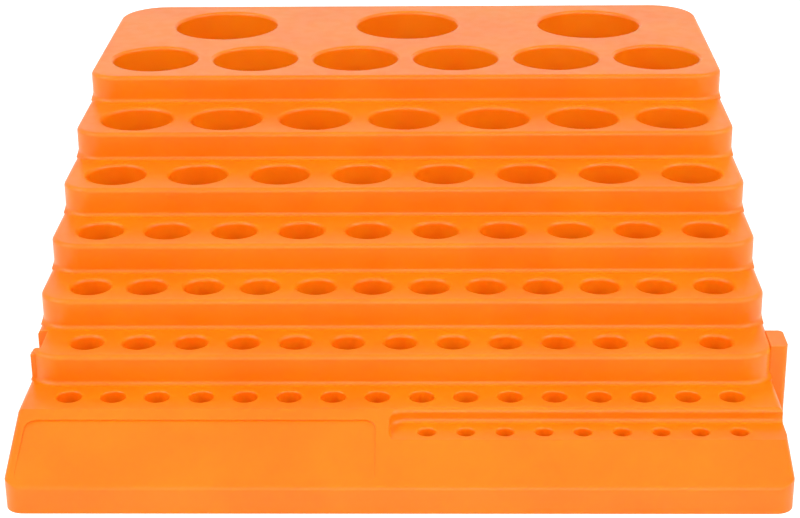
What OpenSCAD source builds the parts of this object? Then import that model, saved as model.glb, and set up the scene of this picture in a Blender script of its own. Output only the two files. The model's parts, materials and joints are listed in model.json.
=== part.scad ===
// Stepped stand for cutters and drills, moulded in one piece and open underneath.
// Nine rows of blind holes, from the widest shanks at the back to the thinnest at the front right.
// X runs across the stand, +X to the right seen from the front. Y runs from front to back, Z up.
// The origin is at table level in the middle of the footprint, link tab included.

/* [Body] */
// Width across the side walls, link tab left out
body_w = 188; // [184:1:240]
// Thickness of the treads, risers and outer walls
wall = 2; // [1.6:0.1:2.4]
// Rounding of the upright corners at the front of each tier
corner_round = 8; // [5:0.5:10]
// Rounding of the upright corners at the back
back_corner_round = 14; // [8:0.5:16]
// Rounding of the upright corners of the front lip
lip_corner_round = 4.5; // [3:0.5:7]
// Soft convex rounding along the edges of the treads
edge_round = 1.2; // [0.6:0.1:1.6]
// Soft concave rounding at the foot of each riser
foot_round = 1.2; // [0.6:0.1:1.6]

/* [Heights] */
// Height of the front lip, where the ramp would meet the front face
lip_h = 7; // [6:0.1:8]
// Height of the small shelf of the first row
shelf_h = 12.4; // [11:0.1:13]
// Height of the first full tread
first_tread_h = 16; // [15:0.5:20]
// Rise from each tread to the next
rise = 8; // [6:0.5:14]

/* [Depths of the steps] */
// Front face to the edge of the first full tread, measured flat
ramp_depth = 23.4; // [23:0.1:30]
// Depth of the tread for 6 mm shanks
tread_6 = 13.5; // [12.5:0.1:18]
// Depth of the tread for 8 mm shanks
tread_8 = 16.6; // [15:0.1:22]
// Depth of the tread for 10 mm shanks
tread_10 = 18.5; // [17:0.1:24]
// Depth of the tread for 12 mm shanks
tread_12 = 21.2; // [20:0.1:27]
// Depth of the tread for 16 mm shanks
tread_16 = 23.9; // [22.5:0.1:30]
// Depth of the tread for 20 mm shanks
tread_20 = 28.8; // [28:0.1:36]
// Depth of the top tread, for 25 and 32 mm shanks
tread_top = 81.1; // [79:0.1:100]

/* [Holes for 4 mm shanks] */
// Bore
bore_4 = 4.2; // [4.1:0.05:4.6]
// Distance between neighbours
pitch_4 = 9.5; // [8.6:0.1:9.8]
// Number in the row
count_4 = 9; // [1:1:9]
// Row behind the front face
inset_4 = 18.3; // [17.9:0.1:18.6]
// Middle of the row to the right of the middle of the stand
offset_4 = 44.8; // [43.5:0.1:46.5]

/* [Holes for 6 mm shanks] */
// Bore
bore_6 = 6.2; // [6.1:0.05:6.6]
// Distance between neighbours
pitch_6 = 11; // [10.4:0.1:11.4]
// Number in the row
count_6 = 16; // [2:1:16]
// Row behind the edge of its tread
inset_6 = 6.9; // [5.8:0.1:7.2]

/* [Holes for 8 mm shanks] */
// Bore
bore_8 = 8.25; // [8.1:0.05:8.6]
// Distance between neighbours
pitch_8 = 13.35; // [12.4:0.05:13.9]
// Number in the row
count_8 = 13; // [2:1:13]
// Row behind the edge of its tread
inset_8 = 8.7; // [7.4:0.1:8.8]

/* [Holes for 10 mm shanks] */
// Bore
bore_10 = 10.25; // [10.1:0.05:10.6]
// Distance between neighbours
pitch_10 = 14.8; // [14.4:0.1:15.2]
// Number in the row
count_10 = 12; // [2:1:12]
// Row behind the edge of its tread
inset_10 = 9.5; // [8.4:0.1:9.8]

/* [Holes for 12 mm shanks] */
// Bore
bore_12 = 12.2; // [12.1:0.05:12.8]
// Distance between neighbours
pitch_12 = 18.1; // [17:0.1:18.6]
// Number in the row
count_12 = 10; // [2:1:10]
// Row behind the edge of its tread
inset_12 = 10.8; // [9.6:0.1:11.4]

/* [Holes for 16 mm shanks] */
// Bore
bore_16 = 16.3; // [16.1:0.05:16.8]
// Distance between neighbours
pitch_16 = 22.9; // [21.5:0.1:23.2]
// Number in the row
count_16 = 8; // [2:1:8]
// Row behind the edge of its tread
inset_16 = 12.2; // [10.8:0.1:12.6]

/* [Holes for 20 mm shanks] */
// Bore
bore_20 = 20.4; // [20.1:0.05:20.9]
// Distance between neighbours
pitch_20 = 25.8; // [25:0.1:26.2]
// Number in the row
count_20 = 7; // [2:1:7]
// Row behind the edge of its tread
inset_20 = 13.7; // [13:0.1:14.6]

/* [Holes for 25 mm shanks] */
// Bore
bore_25 = 25.6; // [25.1:0.05:26]
// Distance between neighbours
pitch_25 = 30.5; // [30:0.1:30.8]
// Number in the row
count_25 = 6; // [2:1:6]
// Row behind the edge of its tread
inset_25 = 19; // [17:0.1:20]

/* [Holes for 32 mm shanks] */
// Bore
bore_32 = 32.3; // [32.1:0.05:33]
// Distance between neighbours
pitch_32 = 58.3; // [40:0.1:59]
// Number in the row
count_32 = 3; // [1:1:3]
// Row in front of the back face
inset_32 = 24.1; // [23:0.1:26]

/* [Sleeves] */
// Wall of the sleeve round each hole
sleeve_wall = 1.6; // [1.2:0.1:1.8]
// Floor that closes each hole
sleeve_floor = 2; // [1.2:0.1:2.4]
// Sleeve ends above the table, so that only the rim of the stand bears
sleeve_lift = 0.8; // [0.4:0.1:1.2]
// Rounded mouth of the holes for 8 mm shanks and up
mouth_round = 1; // [0.5:0.1:1.2]
// Rounded mouth of the holes for 4 and 6 mm shanks
small_mouth_round = 0.5; // [0.3:0.1:0.6]

/* [Front] */
// Left end of the small shelf, from the middle of the stand
shelf_left = -2.5; // [-3:0.1:0]
// Rounding of the corner at the left end of the small shelf
shelf_corner_round = 4; // [2:0.1:5]
// Rounding along the top of the front lip
lip_round = 1.5; // [0.8:0.1:2]
// Width of the label field
label_w = 86; // [40:1:87]
// Left edge of the label field in from the left side wall
label_side_gap = 2.4; // [1.5:0.1:4]
// Length of the label field up the ramp
label_l = 20.2; // [12:0.1:20.6]
// Lower edge of the label field above the front lip, up the ramp
label_lip_gap = 1.4; // [1.2:0.1:1.6]
// Depth of the label field at its upper edge, running out to nothing at its lower one
label_depth = 0.5; // [0.3:0.05:0.7]
// Corner rounding of the label field
label_corner_round = 3; // [1:0.1:5]

/* [Link between stands] */
// Length of the link tab from front to back
tab_l = 9.8; // [7:0.1:12]
// Width of the gap left between two linked stands
link_gap = 1.3; // [0.5:0.1:2]
// Depth of the link slot in the left wall
slot_depth = 2.7; // [1.5:0.1:3.4]
// Front of the tab behind the edge of the tread for 8 mm shanks
tab_inset = 5.4; // [3:0.1:6]
// Free play between tab and slot, at each end
link_play = 0.3; // [0.1:0.05:0.5]
// Rounding of the outer corners of the tab
tab_round = 1.4; // [0.5:0.1:1.8]

/* [Hidden] */
$fn = 48;

orange = [1, 0.45, 0.06];
half_w = body_w / 2;
tab_out = slot_depth + link_gap;
mid_x = -tab_out / 2;
// Small overlap that keeps joined shapes from only touching
lap = 0.4;
// How far a cut runs out of the surface that it opens
past = 2;
// The arc along the lip is this much larger, so that it meets its two faces at a shallow angle
lip_ease = 1.02;

tread_6_y = ramp_depth;
tread_8_y = tread_6_y + tread_6;
tread_10_y = tread_8_y + tread_8;
tread_12_y = tread_10_y + tread_10;
tread_16_y = tread_12_y + tread_12;
tread_20_y = tread_16_y + tread_16;
tread_top_y = tread_20_y + tread_20;
body_d = tread_top_y + tread_top;

tread_8_h = first_tread_h + rise;
tread_10_h = tread_8_h + rise;
tread_12_h = tread_10_h + rise;
tread_16_h = tread_12_h + rise;
tread_20_h = tread_16_h + rise;
body_h = tread_20_h + rise;

ramp_slope = (first_tread_h - lip_h) / ramp_depth;
ramp_angle = atan(ramp_slope);
shelf_right = half_w + past;

// Each tier above the first tread: front edge, next front edge, height of its tread
TIERS = [
    [tread_8_y, tread_10_y, tread_8_h],
    [tread_10_y, tread_12_y, tread_10_h],
    [tread_12_y, tread_16_y, tread_12_h],
    [tread_16_y, tread_20_y, tread_16_h],
    [tread_20_y, tread_top_y, tread_20_h]
];

// Each row: bore, pitch, count, distance from the front, height of its tread, offset to the right, mouth rounding
ROWS = [
    [bore_4, pitch_4, count_4, inset_4, shelf_h, offset_4, small_mouth_round],
    [bore_6, pitch_6, count_6, tread_6_y + inset_6, first_tread_h, 0, small_mouth_round],
    [bore_8, pitch_8, count_8, tread_8_y + inset_8, tread_8_h, 0, mouth_round],
    [bore_10, pitch_10, count_10, tread_10_y + inset_10, tread_10_h, 0, mouth_round],
    [bore_12, pitch_12, count_12, tread_12_y + inset_12, tread_12_h, 0, mouth_round],
    [bore_16, pitch_16, count_16, tread_16_y + inset_16, tread_16_h, 0, mouth_round],
    [bore_20, pitch_20, count_20, tread_20_y + inset_20, tread_20_h, 0, mouth_round],
    [bore_25, pitch_25, count_25, tread_top_y + inset_25, body_h, 0, mouth_round],
    [bore_32, pitch_32, count_32, body_d - inset_32, body_h, 0, mouth_round]
];

// Height of the ramp surface at a distance from the front face
function ramp_height(y) = lip_h + ramp_slope * y;

// What a rounding of radius r takes off a square outer corner at [0, 0]
module corner_waste(r) {
    difference() {
        translate([-r, -r]) square(r + past);
        translate([-r, -r]) circle(r);
    }
}

// What a rounding of radius r fills into a square inner corner at [0, 0]
module corner_fill(r) {
    difference() {
        translate([-lap, -lap]) square(r + lap);
        translate([r, r]) circle(r);
    }
}

// What the rounded mouth of a cut takes off, where its wall is at x = 0 and its mouth at y = 0
module mouth_waste(r) {
    difference() {
        translate([-lap, -r]) square([r + lap, r + lap]);
        translate([r, -r]) circle(r);
    }
}

// Stands a profile drawn in depth and height up, and runs it across from x0 to x1
module across(x0, x1) {
    translate([x0, 0, 0]) rotate([90, 0, 90]) linear_extrude(x1 - x0) children();
}

// Stands a profile drawn in width and height up, and runs it back from y0 to y1
module along(y0, y1) {
    translate([0, y1, 0]) rotate([90, 0, 0]) linear_extrude(y1 - y0) children();
}

// Rectangle from [0, 0] with its far upper corner rounded
module soft_corner_profile(w, h, r) {
    difference() {
        square([w, h]);
        translate([w, h]) corner_waste(r);
    }
}

// Solid of height h over a footprint with two rounded upright corners at its front and a soft upper edge
module soft_block(w, d, h, corner, edge) {
    side = w / 2;
    across(-side + corner, side - corner)
        translate([d, 0]) mirror([1, 0]) soft_corner_profile(d, h, edge);
    along(corner, d) {
        soft_corner_profile(side, h, edge);
        mirror([1, 0]) soft_corner_profile(side, h, edge);
    }
    for (s = [-1, 1])
        translate([s * (side - corner), corner, 0])
            rotate_extrude() soft_corner_profile(corner, h, edge);
}

// One tier: its block, and the fillet at the foot of its riser that runs round both corners
module tier(y0, y1, h) {
    translate([0, y0, 0]) soft_block(body_w, y1 - y0 + corner_round, h, corner_round, edge_round);
    riser_fillet(y0, h - rise);
}

module riser_fillet(y0, foot_h) {
    across(-half_w + corner_round, half_w - corner_round)
        translate([y0, foot_h]) mirror([1, 0]) corner_fill(foot_round);
    for (s = [-1, 1])
        intersection() {
            translate([s * (half_w - corner_round), y0 + corner_round, foot_h])
                rotate([0, 0, s > 0 ? -90 : 180])
                    rotate_extrude(angle = 90)
                        translate([corner_round, 0]) corner_fill(foot_round);
            translate([-half_w, y0 - past, foot_h - lap])
                cube([body_w, corner_round + past, foot_round + 2 * lap]);
        }
}

// The top tier, with larger corners at the back
module top_tier() {
    front_d = tread_top / 2;
    tier(tread_top_y, tread_top_y + front_d, body_h);
    translate([0, body_d, 0]) mirror([0, 1, 0])
        soft_block(body_w, tread_top - front_d, body_h, back_corner_round, edge_round);
}

// Profile of the front: lip, ramp and the first tread
module front_profile(depth) {
    difference() {
        polygon([
            [0, 0],
            [0, lip_h],
            [ramp_depth, first_tread_h],
            [depth, first_tread_h],
            [depth, 0]
        ]);
        lip_waste();
    }
}

// What the rounding along the top of the lip takes off, between the front face and the ramp
module lip_waste() {
    // Distance from the corner to where the arc meets each of its two faces
    reach = lip_round * tan((90 - ramp_angle) / 2);
    difference() {
        polygon([
            [-past, lip_h - reach],
            [0, lip_h - reach],
            [lip_round, lip_h - reach],
            [reach * cos(ramp_angle), lip_h + reach * sin(ramp_angle)],
            [reach * cos(ramp_angle), lip_h + past],
            [-past, lip_h + past]
        ]);
        translate([lip_round, lip_h - reach]) circle(lip_round * lip_ease);
    }
}

// What the rounding of the two upright corners of the lip takes off
module lip_corner_waste() {
    for (s = [0, 1])
        mirror([s, 0, 0]) translate([half_w, 0, -past])
            linear_extrude(first_tread_h + 2 * past)
                mirror([0, 1]) corner_waste(lip_corner_round);
}

// The soft edge along both sides of the ramp and of the first tread
module front_side_waste() {
    ramp_l = ramp_depth / cos(ramp_angle);
    for (s = [0, 1])
        mirror([s, 0, 0]) {
            translate([half_w, 0, lip_h]) rotate([ramp_angle, 0, 0])
                along(-past, ramp_l + past) corner_waste(edge_round);
            translate([half_w, 0, first_tread_h])
                along(ramp_depth - past, tread_8_y + corner_round + past) corner_waste(edge_round);
        }
}

module front() {
    difference() {
        across(-half_w, half_w) front_profile(tread_8_y + corner_round);
        lip_corner_waste();
        front_side_waste();
        shelf_cut();
        label_cut();
    }
}

// Profile of what is cut away over the small shelf, from its front to the riser at its back
module shelf_profile(reach) {
    top = first_tread_h - shelf_h;
    difference() {
        square([reach, top + past]);
        mirror([0, 1]) translate([reach, 0]) corner_waste(foot_round);
    }
    translate([reach, top]) mouth_waste(edge_round);
}

module shelf_cut() {
    corner_x = shelf_left + shelf_corner_round;
    corner_y = ramp_depth - shelf_corner_round;
    translate([0, 0, shelf_h]) {
        across(corner_x, shelf_right)
            translate([-past, 0]) shelf_profile(ramp_depth + past);
        translate([corner_x, corner_y, 0]) rotate_extrude() shelf_profile(shelf_corner_round);
        translate([corner_x, 0, 0]) rotate([0, 0, 180])
            along(-corner_y, past) shelf_profile(shelf_corner_round);
    }
}

// Shallow field for a label, deepest at its upper edge
module label_cut() {
    tilt = atan(label_depth / label_l);
    translate([-half_w + label_side_gap, 0, lip_h])
        rotate([ramp_angle, 0, 0])
            translate([0, label_lip_gap, 0])
                rotate([-tilt, 0, 0])
                    linear_extrude(past) soft_rectangle(label_w, label_l, label_corner_round);
}

module soft_rectangle(w, l, r) {
    translate([r, 0]) square([w - 2 * r, l]);
    translate([0, r]) square([w, l - 2 * r]);
    for (x = [r, w - r], y = [r, l - r])
        translate([x, y]) circle(r);
}

// Whole outside, before it is hollowed
module outside() {
    front();
    for (t = TIERS)
        tier(t[0], t[1], t[2]);
    top_tier();
    link_tab();
}

// Plain block with rounded front corners, for the hollow under a tier
module hollow_block(y0, h) {
    inner_w = body_w - 2 * wall;
    inner_corner = max(corner_round - wall, 1);
    translate([0, y0 + wall, -past])
        linear_extrude(h - wall + past) {
            translate([-inner_w / 2 + inner_corner, 0])
                square([inner_w - 2 * inner_corner, body_d - y0 - 2 * wall - back_corner_round]);
            translate([-inner_w / 2, inner_corner])
                square([inner_w, body_d - y0 - 2 * wall - back_corner_round - inner_corner]);
            for (s = [-1, 1])
                translate([s * (inner_w / 2 - inner_corner), inner_corner]) circle(inner_corner);
        }
}

// The hollow under the top tread reaches into the rounded corners at the back
module back_hollow() {
    inner_w = body_w - 2 * wall;
    inner_corner = back_corner_round - wall;
    back_y = body_d - wall;
    translate([0, 0, -past])
        linear_extrude(body_h - wall + past) {
            translate([-inner_w / 2 + inner_corner, tread_top_y + tread_top / 2])
                square([inner_w - 2 * inner_corner, back_y - tread_top_y - tread_top / 2]);
            translate([-inner_w / 2, tread_top_y + tread_top / 2])
                square([inner_w, back_y - inner_corner - tread_top_y - tread_top / 2]);
            for (s = [-1, 1])
                translate([s * (inner_w / 2 - inner_corner), back_y - inner_corner])
                    circle(inner_corner);
        }
}

// Hollow under the ramp and the first tread, lower where the small shelf lies over it
module front_hollow() {
    skin = wall / cos(ramp_angle);
    inner_w = half_w - wall;
    shelf_wall = shelf_left - wall;
    top = first_tread_h - wall;
    across(-inner_w, shelf_wall)
        polygon([
            [wall, -past],
            [wall, ramp_height(wall) - skin],
            [(top + skin - lip_h) / ramp_slope, top],
            [ramp_depth + 2 * wall, top],
            [ramp_depth + 2 * wall, -past]
        ]);
    across(shelf_wall - lap, inner_w)
        polygon([
            [wall, -past],
            [wall, ramp_height(wall) - skin],
            [(shelf_h - wall + skin - lip_h) / ramp_slope, shelf_h - wall],
            [ramp_depth + wall, shelf_h - wall],
            [ramp_depth + wall, -past]
        ]);
    translate([-inner_w, ramp_depth + wall, -past])
        cube([2 * inner_w, tread_6 + wall + corner_round, top + past]);
}

module hollow() {
    front_hollow();
    for (t = TIERS)
        hollow_block(t[0], t[2]);
    hollow_block(tread_top_y, body_h);
    back_hollow();
}

// Calls its children once at the place of each hole of a row
module each_hole(row) {
    for (i = [0 : row[2] - 1])
        translate([row[5] + row[1] * (i - (row[2] - 1) / 2), row[3], 0]) children();
}

// Closed tube under each hole, up into the tread
module sleeves() {
    for (row = ROWS)
        each_hole(row)
            translate([0, 0, sleeve_lift])
                cylinder(r = row[0] / 2 + sleeve_wall, h = row[4] - sleeve_lift - wall / 2);
}

// Blind hole with a rounded mouth
module bores() {
    floor_h = sleeve_lift + sleeve_floor;
    for (row = ROWS)
        each_hole(row) {
            translate([0, 0, floor_h]) cylinder(r = row[0] / 2, h = row[4] - floor_h + past);
            translate([0, 0, row[4]])
                rotate_extrude() translate([row[0] / 2, 0]) mouth_waste(row[6]);
        }
}

// Upright tab on the right wall, flush with the tread for 8 mm shanks
module link_tab() {
    y0 = tread_8_y + tab_inset;
    translate([half_w - lap, y0, 0])
        linear_extrude(tread_8_h) {
            square([lap + tab_out - tab_round, tab_l]);
            translate([0, tab_round]) square([lap + tab_out, tab_l - 2 * tab_round]);
            for (y = [tab_round, tab_l - tab_round])
                translate([lap + tab_out - tab_round, y]) circle(tab_round);
        }
}

// Slot in the left wall that takes the tab of the next stand, open at the top and at the table
module link_slot() {
    y0 = tread_8_y + tab_inset - link_play;
    translate([-half_w - past, y0, -past])
        cube([slot_depth + past, tab_l + 2 * link_play, tread_8_h + 2 * past]);
}

// Wall behind the link slot
module slot_backing() {
    y0 = tread_8_y + tab_inset - link_play - wall;
    translate([-half_w + lap, y0, 0])
        cube([slot_depth + wall - lap, tab_l + 2 * link_play + 2 * wall, tread_8_h - wall / 2]);
}

module stand() {
    color(orange) translate([mid_x, -body_d / 2, 0])
        difference() {
            union() {
                difference() {
                    outside();
                    hollow();
                }
                sleeves();
                slot_backing();
            }
            bores();
            link_slot();
        }
}

stand();
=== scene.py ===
"""Dresses the stepped bit organizer in satin orange plastic and sets it in a plain white studio.

The stand is one moulded piece, and its solid from the frame is shown as it is. What this script
adds is its finish, the floor, the light and the camera.
"""

from __future__ import annotations

import json
import logging
import math
from dataclasses import dataclass, field
from enum import Enum

import bpy
from mathutils import Matrix, Vector


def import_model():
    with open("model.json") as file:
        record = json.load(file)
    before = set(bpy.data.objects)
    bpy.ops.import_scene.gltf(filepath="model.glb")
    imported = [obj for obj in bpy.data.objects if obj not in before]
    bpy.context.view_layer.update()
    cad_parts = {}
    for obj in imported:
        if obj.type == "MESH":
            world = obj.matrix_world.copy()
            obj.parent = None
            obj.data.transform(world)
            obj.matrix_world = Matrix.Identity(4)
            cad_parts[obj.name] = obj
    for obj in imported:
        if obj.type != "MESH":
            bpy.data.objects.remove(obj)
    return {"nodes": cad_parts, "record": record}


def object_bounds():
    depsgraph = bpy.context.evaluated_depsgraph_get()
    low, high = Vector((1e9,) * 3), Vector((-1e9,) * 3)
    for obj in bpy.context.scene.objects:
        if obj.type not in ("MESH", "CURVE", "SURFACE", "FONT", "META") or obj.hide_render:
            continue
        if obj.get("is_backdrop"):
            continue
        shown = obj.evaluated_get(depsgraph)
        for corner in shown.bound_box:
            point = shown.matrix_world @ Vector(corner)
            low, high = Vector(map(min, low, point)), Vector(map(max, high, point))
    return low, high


LOG = logging.getLogger("bit_organizer")
MM = 0.001
# How far the link tab stands out of the right wall
LINK_TAB_OUT_MM = 4.0

Colour = tuple[float, float, float]
Place = tuple[float, float, float]
Span = tuple[float, float]
Socket = bpy.types.NodeSocket
WHITE: Colour = (1.0, 1.0, 1.0)

# Places of the colour sockets in a Mix node, whose other kinds of socket have the same names
MIX_FACTOR = 0
MIX_FIRST = 6
MIX_SECOND = 7
MIX_RESULT = 2


class Ray(Enum):
    """Kinds of ray that can be told apart in a shader, by the name of the socket."""

    CAMERA = "Is Camera Ray"
    GLOSSY = "Is Glossy Ray"
    TRANSMISSION = "Is Transmission Ray"


class Shaper:
    """Adds nodes to the tree of one material or world, and wires them in short calls."""

    def __init__(self, tree: bpy.types.NodeTree) -> None:
        """Empties the tree.

        Args:
            tree: node tree of a material or of the world.
        """
        self.tree = tree
        tree.nodes.clear()

    def node(self, kind: str, **settings: object) -> bpy.types.Node:
        """Adds one node.

        Args:
            kind: the node's type name.
            settings: attributes to set on it.

        Returns:
            The new node.
        """
        made = self.tree.nodes.new(kind)
        for name, value in settings.items():
            setattr(made, name, value)
        return made

    def wire(self, source: Socket | float | Colour, target: Socket) -> None:
        """Links a socket to a socket, or sets a plain value on it.

        Args:
            source: socket, number or colour.
            target: input that receives it.
        """
        if isinstance(source, bpy.types.NodeSocket):
            self.tree.links.new(source, target)
        elif isinstance(source, tuple) and target.type == "RGBA":
            target.default_value = (*source, 1.0)
        else:
            target.default_value = source

    def maths(self, operation: str, a: Socket | float, b: Socket | float) -> Socket:
        """Adds a Math node.

        Args:
            operation: name of the operation.
            a: first value.
            b: second value.

        Returns:
            The result's socket.
        """
        made = self.node("ShaderNodeMath", operation=operation)
        self.wire(a, made.inputs[0])
        self.wire(b, made.inputs[1])
        return made.outputs[0]

    def span(self, value: Socket, given: Span, wanted: Span = (0.0, 1.0)) -> Socket:
        """Maps a value smoothly from one span to another.

        Args:
            value: the value to map.
            given: values that give the two ends.
            wanted: results at the two ends.

        Returns:
            The result's socket.
        """
        made = self.node("ShaderNodeMapRange", interpolation_type="SMOOTHSTEP")
        self.wire(value, made.inputs["Value"])
        for name, number in zip(("From Min", "From Max", "To Min", "To Max"), (*given, *wanted)):
            made.inputs[name].default_value = number
        return made.outputs[0]

    def noise(self, where: Socket, grain: float, detail: float = 2.0) -> Socket:
        """Adds a noise pattern.

        Args:
            where: place in metres.
            grain: size of its grains, in millimetres.
            detail: number of finer layers.

        Returns:
            Its value, around 0.5.
        """
        made = self.node("ShaderNodeTexNoise")
        self.wire(where, made.inputs["Vector"])
        made.inputs["Scale"].default_value = 1.0 / (grain * MM)
        made.inputs["Detail"].default_value = detail
        return made.outputs["Fac"]

    def blend(self, factor: Socket, first: Socket | Colour, second: Socket | Colour) -> Socket:
        """Blends two colours.

        Args:
            factor: 0 for the first, 1 for the second.
            first: colour or socket.
            second: colour or socket.

        Returns:
            The blended colour's socket.
        """
        made = self.node("ShaderNodeMix", data_type="RGBA")
        self.wire(factor, made.inputs[MIX_FACTOR])
        self.wire(first, made.inputs[MIX_FIRST])
        self.wire(second, made.inputs[MIX_SECOND])
        return made.outputs[MIX_RESULT]

    def bump(self, height: Socket, normal: Socket, strength: float, depth_mm: float) -> Socket:
        """Adds a Bump node on top of a normal.

        Args:
            height: height, from 0 to 1.
            normal: the normal to tilt.
            strength: share of the bump that is used.
            depth_mm: depth from 0 to 1, in millimetres.

        Returns:
            The tilted normal's socket.
        """
        made = self.node("ShaderNodeBump")
        self.wire(height, made.inputs["Height"])
        self.wire(normal, made.inputs["Normal"])
        made.inputs["Strength"].default_value = strength
        made.inputs["Distance"].default_value = depth_mm * MM
        return made.outputs[0]

    def any_ray(self, *rays: Ray) -> Socket:
        """Gives 1 for a ray of any of the kinds, and 0 for others.

        Args:
            rays: the kinds of ray.

        Returns:
            The factor's socket.
        """
        path = self.node("ShaderNodeLightPath")
        factor = path.outputs[rays[0].value]
        for ray in rays[1:]:
            factor = self.maths("MAXIMUM", factor, path.outputs[ray.value])
        return factor

    def show(self, surface: Socket, output: str = "ShaderNodeOutputMaterial") -> None:
        """Adds the output node and wires the last shader to it.

        Args:
            surface: the last shader's socket.
            output: type name of the output node.
        """
        self.wire(surface, self.node(output).inputs["Surface"])


@dataclass(frozen=True)
class SatinPlastic:
    """Through-coloured satin plastic, as moulded."""

    colour: Colour = (1.0, 0.2, 0.0008)
    pale_colour: Colour = (1.0, 0.225, 0.001)
    roughness: float = 0.34
    # How much smoother and how much rougher the skin gets in patches, and their size in grains
    smoother: float = 0.03
    rougher: float = 0.04
    patch_grains: float = 12.0
    patch_span: Span = (0.3, 0.7)
    refraction: float = 1.4
    # Share of the light that spreads under the skin, and how far red, green and blue go
    glow: float = 0.5
    glow_depth_mm: float = 4.0
    glow_reach: Colour = (1.0, 0.35, 0.12)
    edge_round_mm: float = 0.25
    edge_samples: int = 4
    grain_mm: float = 0.35
    grain_detail: float = 3.0
    grain_depth_mm: float = 0.004
    grain_strength: float = 0.5
    ripple_mm: float = 26.0
    ripple_span: Span = (0.35, 0.65)
    ripple_depth_mm: float = 0.05
    ripple_strength: float = 0.4

    def build(self, name: str) -> bpy.types.Material:
        """Makes the material.

        Args:
            name: name of the new material.

        Returns:
            The material.
        """
        made = bpy.data.materials.new(name)
        made.use_nodes = True
        shaper = Shaper(made.node_tree)
        where = shaper.node("ShaderNodeTexCoord").outputs["Object"]
        cloud = shaper.span(shaper.noise(where, self.ripple_mm), self.ripple_span)
        grain = shaper.noise(where, self.grain_mm, self.grain_detail)

        skin = shaper.node("ShaderNodeBsdfPrincipled")
        shaper.wire(shaper.blend(cloud, self.colour, self.pale_colour), skin.inputs["Base Color"])
        patches = shaper.noise(where, self.grain_mm * self.patch_grains)
        roughness_span = (self.roughness - self.smoother, self.roughness + self.rougher)
        uneven = shaper.span(patches, self.patch_span, roughness_span)
        shaper.wire(uneven, skin.inputs["Roughness"])
        skin.inputs["IOR"].default_value = self.refraction
        skin.inputs["Subsurface Weight"].default_value = self.glow
        skin.inputs["Subsurface Radius"].default_value = self.glow_reach
        skin.inputs["Subsurface Scale"].default_value = self.glow_depth_mm * MM

        edge = shaper.node("ShaderNodeBevel", samples=self.edge_samples)
        edge.inputs["Radius"].default_value = self.edge_round_mm * MM
        waves = shaper.bump(cloud, edge.outputs[0], self.ripple_strength, self.ripple_depth_mm)
        fine = shaper.bump(grain, waves, self.grain_strength, self.grain_depth_mm)
        shaper.wire(fine, skin.inputs["Normal"])

        shaper.show(skin.outputs[0])
        return made


@dataclass(frozen=True)
class WhitePaper:
    """Matt white floor that shows as white and keeps a faint shadow of what stands on it."""

    colour: Colour = (0.85, 0.85, 0.85)
    # Light of its own that the camera and reflections see, and that isn't cast on the stand
    lift: float = 0.5

    def build(self, name: str) -> bpy.types.Material:
        """Makes the material.

        Args:
            name: name of the new material.

        Returns:
            The material.
        """
        made = bpy.data.materials.new(name)
        made.use_nodes = True
        shaper = Shaper(made.node_tree)
        matt = shaper.node("ShaderNodeBsdfDiffuse")
        shaper.wire(self.colour, matt.inputs["Color"])
        light = shaper.node("ShaderNodeEmission")
        seen = shaper.any_ray(Ray.CAMERA, Ray.GLOSSY, Ray.TRANSMISSION)
        shaper.wire(shaper.maths("MULTIPLY", seen, self.lift), light.inputs["Strength"])
        both = shaper.node("ShaderNodeAddShader")
        shaper.wire(matt.outputs[0], both.inputs[0])
        shaper.wire(light.outputs[0], both.inputs[1])
        shaper.show(both.outputs[0])
        return made


@dataclass
class Stand:
    """The moulded stand: the frame's own solid, with its finish."""

    node: bpy.types.Object
    slot: str
    finish: SatinPlastic = field(default_factory=SatinPlastic)

    def dress(self) -> bpy.types.Object:
        """Gives the stand its finish.

        Returns:
            The stand's object.
        """
        material = self.finish.build("satin_orange_plastic")
        self.node.data.materials.clear()
        self.node.data.materials.append(material)
        return self.node


@dataclass
class Softbox:
    """Square lamp that looks at a point, in metres and watts."""

    name: str
    place: Place
    side: float
    power: float
    aim: Place = (0.0, 0.0, 0.0)

    def build(self) -> bpy.types.Object:
        """Adds the lamp.

        Returns:
            The lamp's object.
        """
        lamp = bpy.data.lights.new(self.name, "AREA")
        lamp.shape = "SQUARE"
        lamp.size = self.side
        lamp.energy = self.power
        made = bpy.data.objects.new(self.name, lamp)
        made.location = self.place
        made.rotation_mode = "QUATERNION"
        made.rotation_quaternion = (Vector(self.aim) - Vector(self.place)).to_track_quat("-Z", "Y")
        bpy.context.scene.collection.objects.link(made)
        return made


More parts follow.
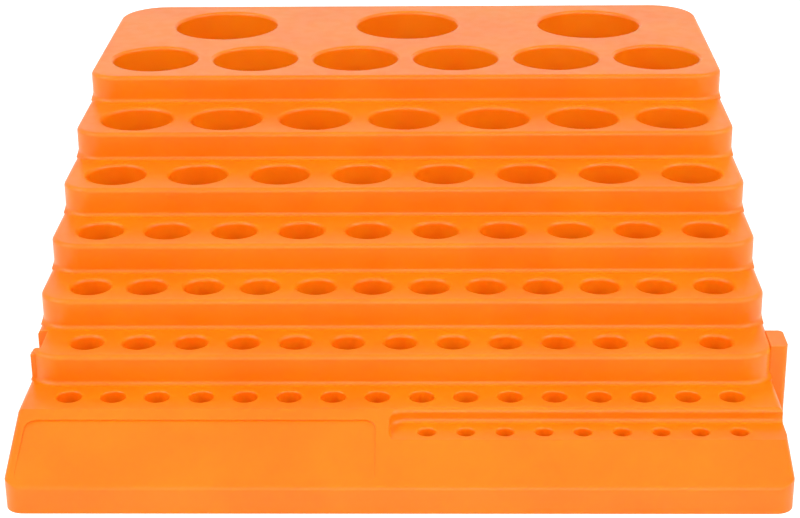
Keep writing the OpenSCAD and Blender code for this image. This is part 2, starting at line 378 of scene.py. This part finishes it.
@dataclass
class Studio:
    """White floor and surroundings, with soft light from both sides, the front and above."""

    # Side of the square floor, in metres
    floor_side: float = 8.0
    world_level: float = 0.32
    # Heights in the view, from 0 level to 1 straight up, between which the walls darken
    wall_top: float = 0.45
    ceiling_from: float = 0.9
    ceiling_level: float = 0.3
    paper: WhitePaper = field(default_factory=WhitePaper)
    lamps: tuple[Softbox, ...] = (
        Softbox("left_softbox", (-1.2, -0.6, 1.0), 1.0, 13.0),
        Softbox("right_softbox", (1.2, -0.6, 1.0), 1.0, 13.0),
        Softbox("front_softbox", (0.1, -1.35, 0.75), 0.8, 6.0),
        Softbox("top_softbox", (0.0, 0.0, 1.3), 2.4, 6.5),
    )

    def build_floor(self) -> bpy.types.Object:
        """Lays the floor.

        Returns:
            The floor's object.
        """
        half = self.floor_side / 2
        mesh = bpy.data.meshes.new("floor")
        corners = [(-half, -half, 0.0), (half, -half, 0.0), (half, half, 0.0), (-half, half, 0.0)]
        mesh.from_pydata(corners, [], [(0, 1, 2, 3)])
        floor = bpy.data.objects.new("floor", mesh)
        bpy.context.scene.collection.objects.link(floor)
        mesh.materials.append(self.paper.build("white_paper"))
        floor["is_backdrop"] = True
        return floor

    def build_world(self) -> None:
        """Makes the surroundings: white to look at, and a plain level of light for the object."""
        world = bpy.data.worlds.new("white_room")
        world.use_nodes = True
        bpy.context.scene.world = world
        shaper = Shaper(world.node_tree)
        plain = shaper.node("ShaderNodeBackground")
        shaper.wire(WHITE, plain.inputs["Color"])
        plain.inputs["Strength"].default_value = self.world_level

        # A gloss sees white walls all round and a dimmer ceiling
        height = shaper.node("ShaderNodeSeparateXYZ")
        shaper.wire(shaper.node("ShaderNodeTexCoord").outputs["Generated"], height.inputs[0])
        darkening = (self.wall_top, self.ceiling_from)
        walls = shaper.span(height.outputs["Z"], darkening, (1.0, self.ceiling_level))
        level = shaper.maths("MAXIMUM", walls, shaper.any_ray(Ray.CAMERA))
        white = shaper.node("ShaderNodeBackground")
        shaper.wire(level, white.inputs["Strength"])
        shaper.wire(WHITE, white.inputs["Color"])
        either = shaper.node("ShaderNodeMixShader")
        shaper.wire(shaper.any_ray(Ray.CAMERA, Ray.GLOSSY, Ray.TRANSMISSION), either.inputs[0])
        shaper.wire(plain.outputs[0], either.inputs[1])
        shaper.wire(white.outputs[0], either.inputs[2])
        shaper.show(either.outputs[0], "ShaderNodeOutputWorld")

    def build(self) -> None:
        """Builds floor, surroundings and lamps."""
        self.build_floor()
        self.build_world()
        for lamp in self.lamps:
            lamp.build()


@dataclass
class ProductCamera:
    """Camera at the photograph's viewing angle, from a fit of the stand's known corners."""

    # Place in front of the middle of the front face, at table level, in millimetres
    from_front_mm: Place = (8.885, -396.634, 228.17)
    yaw: float = -1.1385
    pitch: float = 22.309
    roll: float = -0.5356
    focal_px: float = 1911.09
    image_width_px: float = 800.0
    sensor_mm: float = 36.0
    # Nearest and farthest distance that the camera sees, in metres
    nearest: float = 0.01
    farthest: float = 50.0

    def build(self, front_middle: Vector) -> bpy.types.Object:
        """Adds the camera and makes it the scene's own.

        Args:
            front_middle: middle of the stand's front face at table level, in metres.

        Returns:
            The camera's object.
        """
        yaw, pitch, roll = (math.radians(a) for a in (self.yaw, self.pitch, self.roll))
        forward = Vector(
            (math.sin(yaw) * math.cos(pitch), math.cos(yaw) * math.cos(pitch), -math.sin(pitch))
        )
        level = Vector((math.cos(yaw), -math.sin(yaw), 0.0))
        above = level.cross(forward)
        right = level * math.cos(roll) + above * math.sin(roll)
        up = above * math.cos(roll) - level * math.sin(roll)

        lens = bpy.data.cameras.new("product_camera")
        lens.sensor_width = self.sensor_mm
        lens.lens = self.focal_px / self.image_width_px * self.sensor_mm
        lens.clip_start = self.nearest
        lens.clip_end = self.farthest
        made = bpy.data.objects.new("product_camera", lens)
        turn = Matrix((right, up, -forward)).transposed().to_4x4()
        place = front_middle + Vector(self.from_front_mm) * MM
        made.matrix_world = Matrix.Translation(place) @ turn
        bpy.context.scene.collection.objects.link(made)
        bpy.context.scene.camera = made
        return made


def main() -> None:
    """Loads the frame, dresses the stand, and sets the studio and the camera."""
    logging.basicConfig(level=logging.INFO)
    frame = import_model()
    cad_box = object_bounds()

    slot = frame["record"]["materials"][0]["slot"]
    stand = Stand(frame["nodes"]["stand"], slot).dress()
    LOG.info("dressed %s", stand.name)

    Studio().build()
    LOG.info("built the studio")

    low, high = cad_box
    body_middle_x = (low.x + high.x) / 2 - LINK_TAB_OUT_MM * MM / 2
    ProductCamera().build(Vector((body_middle_x, low.y, 0.0)))
    LOG.info("set the camera")

    bpy.context.scene.view_settings.view_transform = "Standard"


if __name__ == "__main__":
    main()
